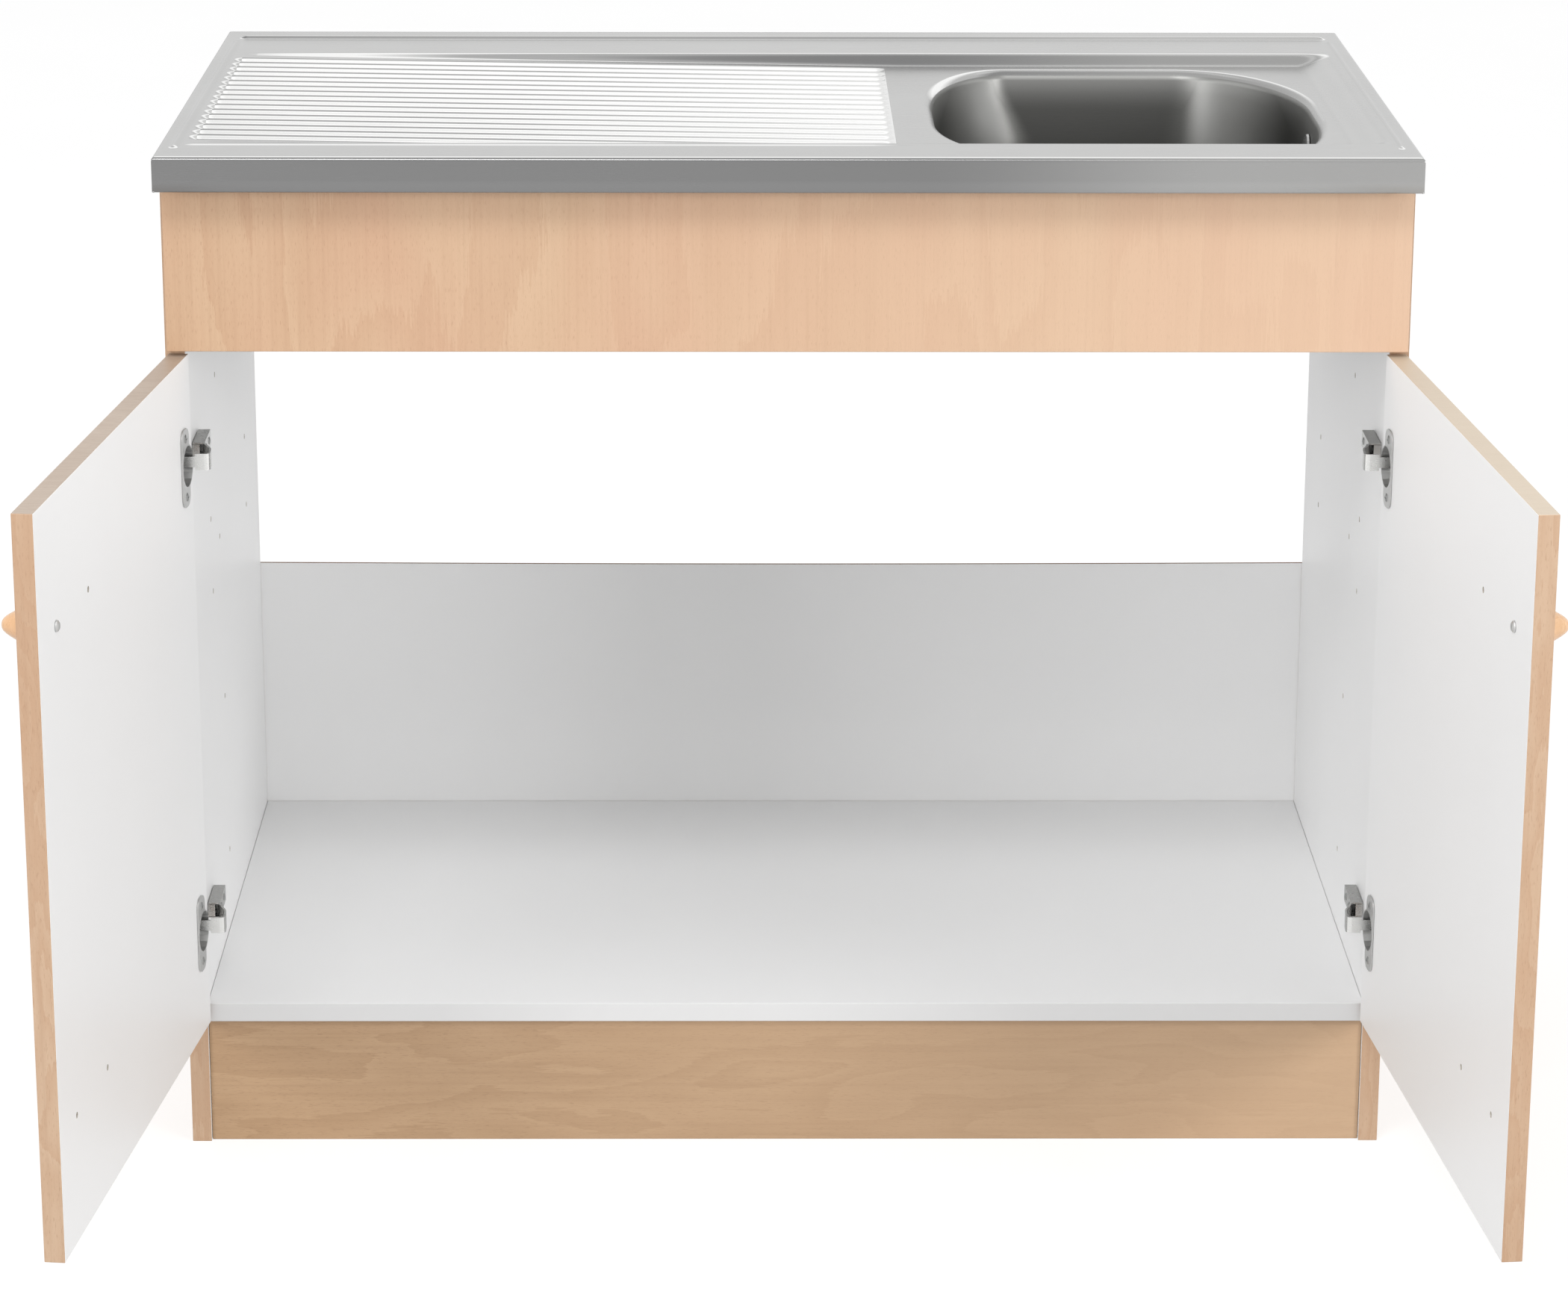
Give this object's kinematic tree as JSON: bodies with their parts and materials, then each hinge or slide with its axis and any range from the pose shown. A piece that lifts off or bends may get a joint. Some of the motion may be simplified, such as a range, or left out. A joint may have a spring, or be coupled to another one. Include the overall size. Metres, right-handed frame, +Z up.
{
  "type": "kitchen sink unit",
  "caption": "Free-standing kitchen sink unit: stainless sink top with ribbed drainer and right-hand bowl, on a beech-effect board cabinet with hinged doors.",
  "frame": {"origin": "on the floor, at the centre of the plinth board's underside", "axes": "+Z up, front towards -Y, +X to the right when seen from the front"},
  "size_m": [1.131, 1.0514, 0.852],
  "materials": {
    "beech_melamine": "satin",
    "white_melamine": "satin",
    "white_hardboard": "matte",
    "turned_beech": "lacquered",
    "nickel_steel": "satin",
    "stainless_steel": "satin",
    "gasket_rubber": "matte",
    "white_plastic": "matte"
  },
  "bodies": {
    "cabinet": {"side_panel_left": "beech_melamine", "side_panel_right": "beech_melamine", "bottom_panel": "white_melamine", "plinth_board": "beech_melamine", "back_panel": "white_hardboard", "rear_rail": "white_melamine", "fascia_panel": "beech_melamine", "fascia_bracket_left": "nickel_steel", "fascia_bracket_right": "nickel_steel", "sink_deck": "stainless_steel", "sink_bowl": "stainless_steel", "waste_strainer": "stainless_steel", "waste_gasket": "gasket_rubber", "waste_body": "white_plastic", "overflow_rosette": "stainless_steel", "overflow_socket": "white_plastic", "hinge_arm_left_lower": "nickel_steel", "hinge_plate_left_lower": "nickel_steel", "hinge_arm_left_upper": "nickel_steel", "hinge_plate_left_upper": "nickel_steel", "hinge_arm_right_lower": "nickel_steel", "hinge_plate_right_lower": "nickel_steel", "hinge_arm_right_upper": "nickel_steel", "hinge_plate_right_upper": "nickel_steel"},
    "door_left": {"door_left": "beech_melamine", "knob_left": "turned_beech", "knob_screw_left": "nickel_steel", "hinge_cup_left_lower": "nickel_steel", "hinge_pin_left_lower": "nickel_steel", "hinge_cup_left_upper": "nickel_steel", "hinge_pin_left_upper": "nickel_steel"},
    "door_right": {"door_right": "beech_melamine", "knob_right": "turned_beech", "knob_screw_right": "nickel_steel", "hinge_cup_right_lower": "nickel_steel", "hinge_pin_right_lower": "nickel_steel", "hinge_cup_right_upper": "nickel_steel", "hinge_pin_right_upper": "nickel_steel"}
  },
  "joints": [
    {"name": "left_door_hinge", "type": "hinge", "parent": "cabinet", "child": "door_left", "pos_m": [-0.49052, -0.024, 0.3944], "axis": [0, 0, 1], "range_deg": [-1.6, 96.4]},
    {"name": "right_door_hinge", "type": "hinge", "parent": "cabinet", "child": "door_right", "pos_m": [0.49052, -0.024, 0.3944], "axis": [0, 0, -1], "range_deg": [-2.9, 95.1]}
  ]
}
